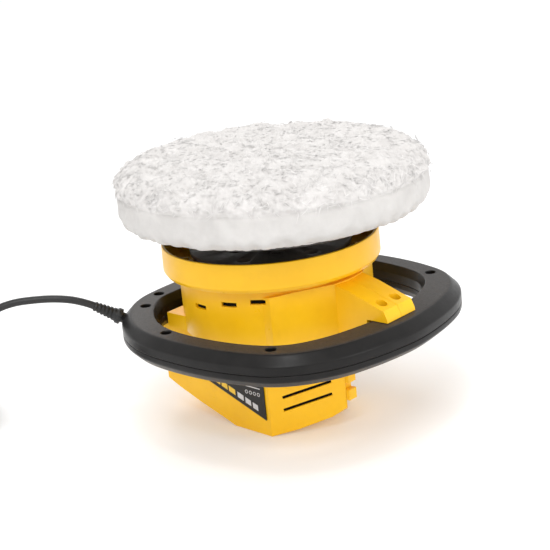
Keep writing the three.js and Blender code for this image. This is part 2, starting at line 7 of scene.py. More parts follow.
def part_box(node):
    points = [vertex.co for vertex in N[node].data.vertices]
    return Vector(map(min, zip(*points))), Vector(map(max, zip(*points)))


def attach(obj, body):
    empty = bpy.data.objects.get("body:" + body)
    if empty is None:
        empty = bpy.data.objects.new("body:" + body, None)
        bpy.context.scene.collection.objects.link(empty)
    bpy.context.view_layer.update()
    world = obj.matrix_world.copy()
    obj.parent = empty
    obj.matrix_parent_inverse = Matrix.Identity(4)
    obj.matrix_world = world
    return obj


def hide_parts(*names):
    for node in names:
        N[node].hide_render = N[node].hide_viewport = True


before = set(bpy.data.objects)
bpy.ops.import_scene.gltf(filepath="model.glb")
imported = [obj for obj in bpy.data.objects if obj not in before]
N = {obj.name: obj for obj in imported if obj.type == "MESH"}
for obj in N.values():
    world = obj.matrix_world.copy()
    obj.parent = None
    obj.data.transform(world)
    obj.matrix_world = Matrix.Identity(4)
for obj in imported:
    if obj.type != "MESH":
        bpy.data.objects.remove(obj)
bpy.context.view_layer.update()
MM = 0.001
SC = bpy.context.scene


# ---------------------------------------------------------------- camera, floor, light
def link(o):
    SC.collection.objects.link(o)
    return o


cam_data = bpy.data.cameras.new("view")
cam_data.sensor_width, cam_data.lens = 36.0, 98.7817
cam_data.clip_start, cam_data.clip_end = 0.05, 60
cam = link(bpy.data.objects.new("view", cam_data))
right, up, back = (0.748428, 0.65675, -0.09238), (-0.132604, 0.284661, 0.949412), (0.649824, -0.698317, 0.300136)
cam.matrix_world = Matrix(((right[0], up[0], back[0], 0.777551), (right[1], up[1], back[1], -0.834042),
                           (right[2], up[2], back[2], 0.474173), (0, 0, 0, 1)))
SC.camera = cam
SC.view_settings.view_transform = "Standard"
SC.view_settings.look = "None"

world = bpy.data.worlds.new("studio")
SC.world = world
world.use_nodes = True
world.node_tree.nodes["Background"].inputs[0].default_value = (1, 1, 1, 1)
world.node_tree.nodes["Background"].inputs[1].default_value = 1.0


def area(name, loc, aim, size, energy, color=(1, 1, 1)):
    d = bpy.data.lights.new(name, "AREA")
    d.shape, d.size, d.energy, d.color = "DISK", size, energy, color
    o = link(bpy.data.objects.new(name, d))
    o.location = loc
    o.rotation_mode = "QUATERNION"
    o.rotation_quaternion = (Vector(aim) - Vector(loc)).to_track_quat("-Z", "Y")


area("key", (0.72, -1.15, 1.50), (0, 0, 0.12), 0.9, 9.5)
area("top", (0.34, -0.44, 1.70), (0.05, -0.05, 0.10), 0.28, 3)
area("fill", (1.5, 0.35, 0.9), (0, 0, 0.12), 0.9, 4.5)
area("rim", (-1.1, 0.9, 1.2), (0, 0, 0.12), 0.8, 5)

fm = bpy.data.meshes.new("floor")
fm.from_pydata([(-15, -15, 0), (15, -15, 0), (15, 15, 0), (-15, 15, 0)], [], [(0, 1, 2, 3)])
floor = link(bpy.data.objects.new("floor", fm))
floor.location.z = -0.0003
fmat = bpy.data.materials.new("floor_pale")
fmat.use_nodes = True
fb = fmat.node_tree.nodes["Principled BSDF"]
fb.inputs["Base Color"].default_value = (0.9, 0.9, 0.9, 1)
fb.inputs["Roughness"].default_value = 0.9
fb.inputs["Specular IOR Level"].default_value = 0.1
fb.inputs["Emission Color"].default_value = (1, 1, 1, 1)
fb.inputs["Emission Strength"].default_value = 0.10
floor.data.materials.append(fmat)


# ---------------------------------------------------------------- materials
def ramp(nt, lo, hi, fac, p0=0.35, p1=0.65):
    r = nt.nodes.new("ShaderNodeValToRGB")
    r.color_ramp.elements[0].position, r.color_ramp.elements[1].position = p0, p1
    r.color_ramp.elements[0].color = (*lo, 1)
    r.color_ramp.elements[1].color = (*hi, 1)
    nt.links.new(fac, r.inputs[0])
    return r.outputs[0]


def tex(nt, scale, detail=4, rough=0.55, stretch=(1, 1, 1), kind="noise"):
    co = nt.nodes.get("coords") or nt.nodes.new("ShaderNodeTexCoord")
    co.name = "coords"
    mp = nt.nodes.new("ShaderNodeMapping")
    mp.inputs["Scale"].default_value = stretch
    nt.links.new(co.outputs["Object"], mp.inputs[0])
    if kind == "noise":
        t = nt.nodes.new("ShaderNodeTexNoise")
        t.inputs["Scale"].default_value = scale
        t.inputs["Detail"].default_value = detail
        t.inputs["Roughness"].default_value = rough
    elif kind == "voronoi":
        t = nt.nodes.new("ShaderNodeTexVoronoi")
        t.inputs["Scale"].default_value = scale
    else:
        t = nt.nodes.new("ShaderNodeTexWave")
        t.wave_type = "BANDS"
        t.bands_direction = kind
        t.inputs["Scale"].default_value = scale
        t.inputs["Distortion"].default_value = rough
        t.inputs["Detail"].default_value = detail
    nt.links.new(mp.outputs[0], t.inputs[0])
    return t.outputs[0]


def math_node(nt, op, a, b=0.5):
    m = nt.nodes.new("ShaderNodeMath")
    m.operation = op
    for i, v in enumerate((a, b)):
        if hasattr(v, "links"):
            nt.links.new(v, m.inputs[i])
        else:
            m.inputs[i].default_value = v
    return m.outputs[0]


def mix(nt, fac, a, b):
    m = nt.nodes.new("ShaderNodeMix")
    m.data_type = "RGBA"
    if hasattr(fac, "links"):
        nt.links.new(fac, m.inputs[0])
    else:
        m.inputs[0].default_value = fac
    for sock, v in ((m.inputs[6], a), (m.inputs[7], b)):
        if hasattr(v, "links"):
            nt.links.new(v, sock)
        else:
            sock.default_value = (*v, 1)
    return m.outputs[2]


def surface(name, lo, hi, rough=(0.35, 0.45), metal=0.0, spots=90, grain=2500, bump=0.15, depth=0.0001,
            grain_kind="noise", stretch=(1, 1, 1), sheen=0.0, coat=0.0, spec=0.5):
    """colour that drifts between lo and hi, roughness that drifts between its two values, and a fine bump"""
    m = bpy.data.materials.new(name)
    m.use_nodes = True
    nt = m.node_tree
    b = nt.nodes["Principled BSDF"]
    drift = tex(nt, spots, 5, 0.6)
    nt.links.new(ramp(nt, lo, hi, drift), b.inputs["Base Color"])
    r = ramp(nt, (rough[0],) * 3, (rough[1],) * 3, tex(nt, spots * 4.3, 6, 0.65, stretch), 0.3, 0.7)
    nt.links.new(r, b.inputs["Roughness"])
    b.inputs["Metallic"].default_value = metal
    b.inputs["Specular IOR Level"].default_value = spec
    if coat:
        b.inputs["Coat Weight"].default_value = coat
        b.inputs["Coat Roughness"].default_value = 0.25
    if sheen:
        b.inputs["Sheen Weight"].default_value = sheen
        b.inputs["Sheen Roughness"].default_value = 0.6
    g = tex(nt, grain, 3, 0.6, stretch, grain_kind)
    bn = nt.nodes.new("ShaderNodeBump")
    bn.inputs["Strength"].default_value = bump
    bn.inputs["Distance"].default_value = depth
    nt.links.new(g, bn.inputs["Height"])
    nt.links.new(bn.outputs[0], b.inputs["Normal"])
    return m


def paint(o, m):
    o.data.materials.clear()
    o.data.materials.append(m)


def slope_rough(m, flat, tilt):
    """faces that look straight up are duller than the rest and painted paler: painted light on the tops"""
    nt = m.node_tree
    b = nt.nodes["Principled BSDF"]
    geo = nt.nodes.new("ShaderNodeNewGeometry")
    sep = nt.nodes.new("ShaderNodeSeparateXYZ")
    nt.links.new(geo.outputs["Normal"], sep.inputs[0])
    up_ = math_node(nt, "GREATER_THAN", sep.outputs[2], 0.93)
    old = b.inputs["Roughness"].links[0].from_socket
    dull = ramp(nt, (flat[0],) * 3, (flat[1],) * 3, tex(nt, 700, 6, 0.7), 0.3, 0.7)
    nt.links.new(mix(nt, up_, old, dull), b.inputs["Roughness"])
    # faces that look straight up get a paler colour, painted light on the tops; then fine pale scuffs
    old_c = b.inputs["Base Color"].links[0].from_socket
    painted_top_light = ramp(nt, (0.030, 0.0265, 0.025), (0.048, 0.043, 0.041), tex(nt, 220, 6, 0.7), 0.3, 0.7)
    old_c = mix(nt, up_, old_c, painted_top_light)
    scuff = ramp(nt, (0, 0, 0), (1, 1, 1), tex(nt, 60, 8, 0.75, (1, 7, 3)), 0.66, 0.8)
    where = ramp(nt, (0, 0, 0), (0.35, 0.35, 0.35), tex(nt, 9, 2, 0.5), 0.5, 0.7)
    f = math_node(nt, "MULTIPLY", scuff, where)
    nt.links.new(mix(nt, f, old_c, tilt), b.inputs["Base Color"])


YEL = surface("yellow_abs", (0.93, 0.50, 0.004), (1.0, 0.56, 0.007), (0.27, 0.40), spots=28, grain=1500, bump=0.06, depth=0.00008, coat=0.05, spec=0.38)
def edge_wear(m):
    nt = m.node_tree
    b = nt.nodes["Principled BSDF"]
    old_c = b.inputs["Base Color"].links[0].from_socket
    dirt = ramp(nt, (0, 0, 0), (0.22, 0.22, 0.22), tex(nt, 45, 8, 0.7), 0.56, 0.74)
    c1 = mix(nt, dirt, old_c, (0.70, 0.33, 0.006))
    scr = ramp(nt, (0, 0, 0), (0.30, 0.30, 0.30), tex(nt, 70, 7, 0.75, (1, 1, 9)), 0.68, 0.8)
    nt.links.new(mix(nt, scr, c1, (1.0, 0.72, 0.10)), b.inputs["Base Color"])
edge_wear(YEL)
BLK = surface("handle_abs", (0.005, 0.0045, 0.0042), (0.009, 0.008, 0.0075), (0.28, 0.40), spots=60, grain=2600, bump=0.12, depth=0.00008, spec=0.24)
slope_rough(BLK, (0.42, 0.58), (0.10, 0.10, 0.105))
INN = surface("inner_nylon", (0.030, 0.027, 0.026), (0.048, 0.043, 0.040), (0.26, 0.38), spots=120, grain=2200, bump=0.2)
# near-black matte sheet colour: painted shade inside the vents and louvres
SHADE_SHEET = surface("painted_shade_black", (0.003, 0.003, 0.003), (0.007, 0.0065, 0.006), (0.8, 0.95), spots=300, grain=2600, bump=0.5, spec=0.08)
# paler copy of the black inner nylon: painted light on the throw disc
DSC = surface("disc_nylon_lit", (0.085, 0.070, 0.060), (0.125, 0.105, 0.090), (0.42, 0.55), spots=90, grain=1800, bump=0.15)
SWM = surface("switch_nylon", (0.014, 0.014, 0.015), (0.022, 0.022, 0.023), (0.45, 0.6), spots=200, grain=4000, bump=0.3)
PAN = surface("panel_film", (0.013, 0.0135, 0.014), (0.018, 0.0185, 0.019), (0.30, 0.40), spots=60, grain=1200, bump=0.03, depth=0.00004, spec=0.3)
SCR = surface("black_screw", (0.05, 0.05, 0.052), (0.09, 0.09, 0.095), (0.35, 0.5), metal=1.0, spots=400, grain=5000, bump=0.2)
STL = surface("turned_steel", (0.42, 0.43, 0.45), (0.56, 0.57, 0.59), (0.26, 0.42), metal=1.0, spots=160, grain=1800, bump=0.15, stretch=(1, 1, 12))
LAM = surface("laminated_steel", (0.30, 0.30, 0.32), (0.42, 0.43, 0.44), (0.4, 0.55), metal=1.0, spots=160, grain=900, bump=0.7, depth=0.0002, grain_kind="Z")
BRG = surface("ground_steel", (0.60, 0.61, 0.63), (0.70, 0.71, 0.73), (0.12, 0.2), metal=1.0, spots=240, grain=3000, bump=0.06)
COP = surface("wound_copper", (0.42, 0.14, 0.05), (0.60, 0.24, 0.09), (0.25, 0.4), metal=0.9, spots=300, grain=420, bump=0.9, depth=0.0003, grain_kind="Z")
BRS = surface("stamped_brass", (0.62, 0.44, 0.15), (0.75, 0.56, 0.22), (0.25, 0.4), metal=1.0, spots=200, grain=2500, bump=0.12)
CAR = surface("pressed_carbon", (0.015, 0.015, 0.016), (0.035, 0.035, 0.037), (0.5, 0.7), spots=900, grain=5000, bump=0.4)
FOM = surface("open_foam", (0.022, 0.022, 0.025), (0.050, 0.050, 0.055), (0.9, 1.0), spots=500, grain=900, bump=1.0, depth=0.0006, grain_kind="voronoi", spec=0.1)
CRD = surface("cord_sheath", (0.008, 0.008, 0.008), (0.014, 0.014, 0.014), (0.38, 0.5), spots=300, grain=3500, bump=0.15)


def fleece(name, lo, hi, sheen, grain, bump, depth):
    m = surface(name, lo, hi, (0.92, 1.0), spots=55, grain=grain, bump=bump, depth=depth, sheen=sheen, spec=0.08)
    b = m.node_tree.nodes["Principled BSDF"]
    b.inputs["Subsurface Weight"].default_value = 0.15
    b.inputs["Subsurface Radius"].default_value = (0.004, 0.004, 0.004)
    b.inputs["Subsurface Scale"].default_value = 0.5
    return m


FLC = fleece("fleece_pile", (0.60, 0.58, 0.565), (0.68, 0.66, 0.645), 0.08, 900, 0.3, 0.0006)
# strands paler than the fleece skin under them: painted light against their own shadows
PIL = surface("pile_strands_lit", (0.72, 0.70, 0.685), (0.78, 0.76, 0.745), (0.94, 1.0), spots=55, grain=1600, bump=0.1, depth=0.0001, spec=0.04)
BND = fleece("knit_band", (0.57, 0.553, 0.536), (0.62, 0.602, 0.584), 0.06, 1900, 0.45, 0.0003)


# ---------------------------------------------------------------- mesh helpers
def obj_from(name, verts, faces, mat, smooth=40):
    me = bpy.data.meshes.new(name)
    me.from_pydata([tuple(v) for v in verts], [], faces)
    me.validate()
    me.update()
    o = link(bpy.data.objects.new(name, me))
    if smooth is not None:
        shade(o, smooth)
    if mat is not None:
        paint(o, mat)
    return o


def shade(o, angle=40):
    me = o.data
    me.polygons.foreach_set("use_smooth", [True] * len(me.polygons))
    if angle < 180:
        me.set_sharp_from_angle(angle=math.radians(angle))
    me.update()


def fillet(points, r, seg=4, closed=True):
    """rounds the corners of a polyline; r is one radius or one per point"""
    P = [np.array(p, float) for p in points]
    n = len(P)
    rs = r if isinstance(r, (list, tuple)) else [r] * n
    out = []
    for i in range(n):
        if not closed and i in (0, n - 1):
            out.append(P[i])
            continue
        a, b, c = P[i - 1], P[i], P[(i + 1) % n]
        u, v = a - b, c - b
        lu, lv = np.linalg.norm(u), np.linalg.norm(v)
        u, v = u / lu, v / lv
        ang = math.acos(max(-1, min(1, float(u @ v))))
        if rs[i] <= 0 or ang > math.pi - 0.05:
            out.append(b)
            continue
        t = min(rs[i] / math.tan(ang / 2), 0.45 * lu, 0.45 * lv)
        p0, p1 = b + u * t, b + v * t
        for k in range(seg + 1):
            s = k / seg
            out.append((1 - s) ** 2 * p0 + 2 * s * (1 - s) * b + s * s * p1)
    return out


def turned(name, profile, mat, n=96, x=0.0, y=0.0, smooth=40, r=0.0, seg=3):
    """closed profile [(radius, z)...] in mm turned about the vertical at x, y"""
    pts = fillet(profile, r, seg) if r else profile
    V, F = [], []
    k = len(pts)
    for i in range(n):
        a = 2 * math.pi * i / n
        for (q, z) in pts:
            V.append(((x + q * math.cos(a)) * MM, (y + q * math.sin(a)) * MM, z * MM))
    for i in range(n):
        j = (i + 1) % n
        for m_ in range(k):
            l = (m_ + 1) % k
            F.append((i * k + m_, j * k + m_, j * k + l, i * k + l))
    o = obj_from(name, V, F, mat, None)
    bm = bmesh.new()
    bm.from_mesh(o.data)
    bmesh.ops.remove_doubles(bm, verts=bm.verts, dist=1e-6)
    bmesh.ops.recalc_face_normals(bm, faces=bm.faces)
    bm.to_mesh(o.data)
    bm.free()
    shade(o, smooth)
    return o


def bm_cyl(bm, p0, p1, r0, r1, n=32):
    p0, p1 = Vector(p0) * MM, Vector(p1) * MM
    d = p1 - p0
    q = Vector((0, 0, 1)).rotation_difference(d.normalized())
    M = Matrix.Translation((p0 + p1) / 2) @ q.to_matrix().to_4x4()
    bmesh.ops.create_cone(bm, cap_ends=True, cap_tris=False, segments=n, radius1=r0 * MM, radius2=r1 * MM, depth=d.length, matrix=M)


def bm_box(bm, lo, hi, M=None):
    lo, hi = Vector(lo) * MM, Vector(hi) * MM
    S = Matrix.Diagonal((*(hi - lo), 1))
    T = Matrix.Translation((lo + hi) / 2)
    bmesh.ops.create_cube(bm, size=1, matrix=(M or Matrix.Identity(4)) @ T @ S)


def cutter(build):
    bm = bmesh.new()
    build(bm)
    me = bpy.data.meshes.new("cutter")
    bm.to_mesh(me)
    bm.free()
    return link(bpy.data.objects.new("cutter", me))


def apply_mods(o):
    dg = bpy.context.evaluated_depsgraph_get()
    me = bpy.data.meshes.new_from_object(o.evaluated_get(dg), preserve_all_data_layers=True, depsgraph=dg)
    o.modifiers.clear()
    o.data = me
    return o


def carve(o, build, op="DIFFERENCE"):
    c = cutter(build)
    m = o.modifiers.new("cut", "BOOLEAN")
    m.operation, m.object, m.solver, m.use_self = op, c, "EXACT", True
    bpy.context.view_layer.update()
    apply_mods(o)
    bpy.data.objects.remove(c)
    return o


def soften(o, width=0.6, seg=3, angle=32, clamp=True):
    b = o.modifiers.new("bevel", "BEVEL")
    b.width, b.segments, b.limit_method, b.angle_limit = width * MM, seg, "ANGLE", math.radians(angle)
    b.use_clamp_overlap = clamp
    b.miter_outer = "MITER_ARC"
    b.harden_normals = False
    apply_mods(o)
    shade(o, 50)
    w = o.modifiers.new("weights", "WEIGHTED_NORMAL")
    w.keep_sharp, w.weight = True, 60
    return o


def refined(node, mat, width=0.6, seg=3, angle=32, name=None, dissolve=2.0, clamp=True, keep=False):
    """a new piece from a CAD node's shape, its small facets joined and its edges rounded"""
    bm = bmesh.new()
    bm.from_mesh(N[node].data)
    bmesh.ops.remove_doubles(bm, verts=bm.verts, dist=3e-6)
    bmesh.ops.dissolve_limit(bm, angle_limit=math.radians(dissolve), verts=bm.verts, edges=bm.edges)
    me = bpy.data.meshes.new(name or "v_" + node)
    bm.to_mesh(me)
    bm.free()
    o = link(bpy.data.objects.new(name or "v_" + node, me))
    paint(o, mat)
    if width:
        soften(o, width, seg, angle, clamp)
    else:
        shade(o, 30)
    return o


def put(o, body, *nodes, slot=None):
    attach(o, body)
    if nodes:
        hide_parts(*nodes)
    return o


# ---------------------------------------------------------------- cord first: free arc, coil, tail
EXIT = np.array([-90.0, -80.7, 90.5])
EXIT_DIR = np.array([-0.60, -0.66, 0.52]); EXIT_DIR /= np.linalg.norm(EXIT_DIR)
HEAD = np.array([-0.673, -0.74]); HEAD /= np.linalg.norm(HEAD)
ARC = [[0, 0], [9, 5.25], [18, 10.5], [27, 15.7], [40, 20.8], [54, 23.6], [70, 24.7], [86, 24.2], [100, 20.6], [111, 13],
       [119, 2], [125, -12], [131, -29], [137, -45], [144, -59], [153, -71], [163, -79]]
COIL = (-231.6, -167.3)
keys = []                                            # (angle, radius, z) round the coil
for deg, r, z in ((-57, 45.7, 5.4), (-73, 44.2, 3.9), (-90, 42.4, 3.5), (-110, 40.6, 3.35), (-130, 39.5, 3.3), (-150, 39.2, 3.3)):
    keys.append((deg, r, z))
def turn_in(start, z):
    for k in range(1, 73):
        keys.append((start - 10 * k, 39.2 - 12.2 * k / 72, z))
def turn_out(start, z):
    for k in range(1, 73):
        keys.append((start - 10 * k, 27.0 + 12.2 * k / 72, z))
def rise(start, r, dr, z0, z1):
    for k in range(1, 19):
        s = k / 18
        keys.append((start - 10 * k, r + dr * math.sin(math.pi * s), z0 + (z1 - z0) * (s * s * (3 - 2 * s))))
turn_in(-150, 3.3); rise(-870, 27.0, -1.1, 3.3, 9.4)
turn_out(-1050, 9.4); rise(-1770, 39.2, 1.1, 9.4, 15.5)
turn_in(-1950, 15.5); rise(-2670, 27.0, -1.1, 15.5, 21.6)
turn_out(-2850, 21.6)
for s, r, z in ((12, 39.8, 21.8), (26, 41.6, 21.6), (40, 43.8, 20.0), (54, 45.6, 17.0), (70, 46.8, 12.6), (88, 47.3, 8.6), (108, 47.2, 6.0), (130, 46.8, 5.1), (155, 46.4, 5.0)):
    keys.append((-3570 - s, r, z))
TURN = 25
tail = [(46.2, 185), (47, 168), (48.8, 149), (51, 131.5)]
for r, deg in tail:
    keys.append((-3960 + deg + TURN, r, 5.0))         # -3750 = 185 + 25 - 3960


def catmull(P, closed=False, per=8):
    P = [np.array(p, float) for p in P]
    n = len(P)
    out = []
    segs = n if closed else n - 1
    for i in range(segs):
        g = lambda k: P[k % n] if closed else (P[k] if 0 <= k < n else (2 * P[0] - P[1] if k < 0 else 2 * P[-1] - P[-2]))
        p0, p1, p2, p3 = g(i - 1), g(i), g(i + 1), g(i + 2)
        d0, d1, d2 = (max(np.linalg.norm(b - a) ** 0.5, 1e-4) for a, b in ((p0, p1), (p1, p2), (p2, p3)))
        t1 = (p1 - p0) / d0 - (p2 - p0) / (d0 + d1) + (p2 - p1) / d1
        t2 = (p2 - p1) / d1 - (p3 - p1) / (d1 + d2) + (p3 - p2) / d2
        t1, t2 = t1 * d1, t2 * d1
        for k in range(per):
            s = k / per
            out.append((2 * s ** 3 - 3 * s ** 2 + 1) * p1 + (s ** 3 - 2 * s ** 2 + s) * t1 + (-2 * s ** 3 + 3 * s ** 2) * p2 + (s ** 3 - s ** 2) * t2)
    if not closed:
        out.append(P[-1])
    return np.array(out)


ctrl = [[EXIT[0] + HEAD[0] * d, EXIT[1] + HEAD[1] * d, EXIT[2] + h] for d, h in ARC]
round_ = [[COIL[0] + r * math.cos(math.radians(a)), COIL[1] + r * math.sin(math.radians(a)), z] for a, r, z in keys]
first = catmull(ctrl + round_[:6], per=6)
rest = catmull(round_[4:], per=2)
path = np.vstack([first[:-6 - 1 + 0], rest])
# keep one ordered line: drop points of the first stretch beyond the second's start
cut = int(np.argmin(np.linalg.norm(first - rest[0], axis=1)))
path = np.vstack([first[:cut], rest])
# the line starts at EXIT, a little inside the collar where the sheath leaves the handle; drop points that sit on the
# one before
seglen = np.linalg.norm(np.diff(path, axis=0), axis=1)
keep_ = np.r_[True, seglen > 0.05]
path = path[keep_]

cu = bpy.data.curves.new("mains_cord", "CURVE")
cu.dimensions = "3D"
cu.bevel_depth, cu.bevel_resolution, cu.use_fill_caps = 0.003, 3, True
cu.resolution_u = 1
sp = cu.splines.new("POLY")
sp.points.add(len(path) - 1)
sp.points.foreach_set("co", np.c_[path * MM, np.ones(len(path))].ravel())
sp.use_smooth = True
cord = link(bpy.data.objects.new("mains_cord", cu))
cord.data.materials.append(CRD)
put(cord, "body", "cord_tube", "cord_coil", "cord_tail", slot="cord_rubber")

# strain relief: tapered boot with grooves and a collar
qz = Vector((0, 0, 1)).rotation_difference(Vector(EXIT_DIR))
prof = [(3.15, -8), (4.2, -8), (4.2, 4.2), (6.4, 4.2), (6.3, 7.6), (5.3, 8.4)]
for i in range(5):
    z0 = 9.6 + i * 3.1
    r0 = 5.15 - i * 0.24
    prof += [(r0, z0), (r0 - 0.06, z0 + 1.7), (r0 - 0.75, z0 + 1.9), (r0 - 0.78, z0 + 2.8)]
prof += [(3.95, 25.4), (3.7, 27), (3.15, 27)]
boot = turned("strain_boot", prof, CRD, n=40, r=0.35, smooth=50)
boot.data.transform(Matrix.Translation(Vector(EXIT) * MM) @ qz.to_matrix().to_4x4())
put(boot, "body", "strain_relief", slot="cord_rubber")

plug = refined("plug_body", CRD, 1.6, 4, 20, name="mains_plug")
put(plug, "body", "plug_body", slot="cord_rubber")
for k in ("a", "b"):
    p_ = refined(f"plug_pin_{k}", BRG, 0.5, 3, 40, name=f"pin_{k}")
    put(p_, "body", f"plug_pin_{k}", slot="brass")

# ---------------------------------------------------------------- handle loop
LOOP_IN = [[-79, 0], [-79, 28], [-77.5, 48], [-68.5, 64], [-56, 77.5], [-38.5, 90.5], [-19, 98], [5, 101], [36, 99.5],
           [60, 94.5], [76, 87.5], [88, 76], [97.5, 56], [102.5, 37], [106, 17], [107, 0]]
LOOP_OUT = [[-107, 0], [-106.5, 31], [-102, 59], [-91, 81.5], [-74, 99.5], [-51.5, 113.5], [-26, 122], [3, 125], [38, 124.5],
            [68, 119.5], [92, 111.5], [111, 96], [126.5, 72], [135.5, 43.5], [140, 15.5], [141, 0]]
def closed_half(h): return h + [[x, -y] for x, y in reversed(h[1:-1])]
CI, CO = catmull(closed_half(LOOP_IN), True, 9), catmull(closed_half(LOOP_OUT), True, 9)


def loop_piece(name, prof):
    """prof: (share of the width from inside 0 to outside 1, z)"""
    V, F = [], []
    k, n = len(prof), len(CI)
    for i in range(n):
        for u, z in prof:
            q = CI[i] + (CO[i] - CI[i]) * u
            V.append((q[0] * MM, q[1] * MM, z * MM))
    for i in range(n):
        j = (i + 1) % n
        for a in range(k):
            b = (a + 1) % k
            F.append((i * k + a, j * k + a, j * k + b, i * k + b))
    o = obj_from(name, V, F, BLK, None)
    bm = bmesh.new(); bm.from_mesh(o.data)
    bmesh.ops.recalc_face_normals(bm, faces=bm.faces)
    bm.to_mesh(o.data); bm.free()
    return o


def prof_mm(pts, rs, w=27.0, seg=5):
    q = fillet([(u * w, z) for u, z in pts], rs, seg)
    return [(a[0] / w, a[1]) for a in q]


RING_XY = [("a", -89, 43), ("b", -76.5, 70), ("c", -15.5, 107.5), ("d", 81, 97.5)]
upper = loop_piece("loop_upper", prof_mm([(0, 85.65), (0, 93.2), (0.10, 100), (0.745, 100), (1, 92.6), (1, 85.65)],
                                         [0.5, 2.2, 1.6, 4.5, 3.2, 0.7]))
lower = loop_piece("loop_lower", prof_mm([(0, 85.35), (1, 85.35), (1, 81), (0.78, 75), (0.16, 75), (0, 81)],
                                         [0.5, 0.7, 3.5, 3.0, 2.5, 2.5]))
def cut_upper(bm):
    for _, x, y in RING_XY:
        for s in (-1, 1):
            bm_cyl(bm, (x, s * y, 94), (x, s * y, 103), 4.1, 4.1)
            bm_cyl(bm, (x, s * y, 99.3), (x, s * y, 102), 4.08, 6.6)
carve(upper, cut_upper)
def cut_exit(bm):
    a, b = EXIT + EXIT_DIR * -9, EXIT + EXIT_DIR * 14
    bm_cyl(bm, a, b, 4.7, 4.7, 24)
carve(upper, cut_exit)
SWA, SWP = 0.43, (-41, 103.6)
SWM4 = Matrix.Translation((SWP[0] * MM, SWP[1] * MM, 0)) @ Matrix.Rotation(SWA, 4, "Z")
carve(lower, lambda bm: bm_box(bm, (-10.7, -6.7, 70), (10.7, 6.7, 90), SWM4))
for o in (upper, lower):
    shade(o, 38)
put(upper, "body", "ring_upper_shell", slot="handle_black")
put(lower, "body", "ring_lower_shell", slot="handle_black")


# ---------------------------------------------------------------- screws with a cross recess
def screw(name, body, node, mat, axis="Z", head=None, slot="screw_steel"):
    lo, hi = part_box(node)
    c = (lo + hi) / 2 / MM
    lo, hi = lo / MM, hi / MM
    if axis == "Z":
        length, rad = hi[2] - lo[2], (hi[0] - lo[0]) / 2
    else:
        length, rad = hi[1] - lo[1], (hi[0] - lo[0]) / 2
    h = head or 2.4
    prof = [(0, -length), (1.1, -length), (1.5, -length + 1)]
    z = -length + 1
    while z < -h - 0.9:
        prof += [(1.5, z), (1.2, z + 0.4), (1.5, z + 0.8)]
        z += 0.8
    prof += [(1.5, -h), (rad, -h), (rad, -h * 0.45), (rad * 0.72, -0.12), (0, 0)]
    o = turned(name, prof, mat, n=28, smooth=45)
    def cross(bm):
        for a in (0, math.pi / 2):
            bm_box(bm, (-rad * 0.58, -0.42, -1.5), (rad * 0.58, 0.42, 1), Matrix.Rotation(a + 0.5, 4, "Z"))
    carve(o, cross)
    shade(o, 40)
    if axis == "Z":
        M = Matrix.Translation((c[0] * MM, c[1] * MM, hi[2] * MM))
    else:
        M = Matrix.Translation((c[0] * MM, hi[1] * MM, c[2] * MM)) @ Matrix.Rotation(-math.pi / 2, 4, "X")
    o.data.transform(M)
    return put(o, body, node, slot=slot)


for k, _, _ in RING_XY:
    for s in "lr":
        screw(f"loop_screw_{k}_{s}", "body", f"ring_screw_{k}_{s}", SCR)
for s in "lr":
    screw(f"tip_screw_{s}", "body", f"bridge_screw_{s}", SCR)
for i in (1, 2, 3):
    screw(f"shell_screw_{i}", "body", f"housing_screw_{i}", SCR, "Y")
    screw(f"rim_screw_{i}", "body", f"skirt_screw_{i}", SCR)
screw("centre_screw", "pad", "pad_screw", SCR, head=3.3)

# ---------------------------------------------------------------- housing and skirt
for side in ("left", "right"):
    h = refined(f"housing_{side}", YEL, 0.55, 2, 33, name=f"shell_{side}", dissolve=1.0)
    sy = 1 if (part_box(f"housing_{side}")[1][1] > 20) else -1
    def openings(bm):
        # the three vents under the ledge run right through
        for x, y, z, w in ((-11, 73, 110.4, 12.9), (18, 71.6, 115.8, 12.9), (39.6, 62.4, 118.3, 11.9)):
            q = sy * (math.atan2(y, x) - math.pi / 2)
            bm_box(bm, (-w / 2, -17, -1.78), (w / 2, 10, 1.78), Matrix.Translation((x * MM, sy * y * 1.0 * MM, z * MM)) @ Matrix.Rotation(q, 4, "Z") @ Matrix.Scale(sy, 4, (0, 1, 0)))
    carve(h, openings)
    shade(h, 40)
    w = h.modifiers.new("weights", "WEIGHTED_NORMAL")
    w.keep_sharp, w.weight = True, 60
    put(h, "body", f"housing_{side}", slot="yellow_plastic")

skirt = turned("skirt", [(60, 120.6), (67.6, 120.6), (67.6, 128.6), (84.2, 128.6), (86, 131.6), (85.6, 151.2), (83.3, 151.2),
                         (83, 131.6), (63, 131.6), (63, 124.6), (60, 124.6)], YEL, n=168, r=0.8, seg=4, smooth=50)
def ribs(bm):
    for i in range(12):
        bm_box(bm, (65.5, -0.9, 130.6), (84.2, 0.9, 136.6), Matrix.Rotation(i * math.pi / 6 + 0.2, 4, "Z"))
bm = bmesh.new(); bm.from_mesh(skirt.data); ribs(bm); bm.to_mesh(skirt.data); bm.free()
skirt.data.materials.clear(); skirt.data.materials.append(YEL)
shade(skirt, 50)
put(skirt, "body", "base_skirt", slot="yellow_plastic")

# a dark sheet behind the neck vents: painted shade inside them
vent_shade = turned("vent_shade_sheet", [(65.9, 104.6), (71.6, 104.6), (71.6, 119.6), (65.9, 119.6)], SHADE_SHEET, n=96, r=0.3, seg=2)
put(vent_shade, "body", slot="inner_black")
bm = bmesh.new()
for q in (1, -1):                                     # dark sheets behind the louvres: painted shade inside the openings
    M = Matrix.Translation(((65 + 25.5) / 2 * MM, q * 23.5 * MM, 0)) @ Matrix.Rotation(q * math.atan2(-47, 65 - 25.5), 4, "Z")
    a, b = sorted((-q * 2.9, -q * 1.3))
    bm_box(bm, (-20.5, a, 20), (20.5, b, 60), M)
me_ = bpy.data.meshes.new("louvre_shade_sheets"); bm.to_mesh(me_); bm.free()
ls = link(bpy.data.objects.new("louvre_shade_sheets", me_))
paint(ls, SHADE_SHEET)
soften(ls, 0.2, 2, 30)
put(ls, "body", slot="inner_black")

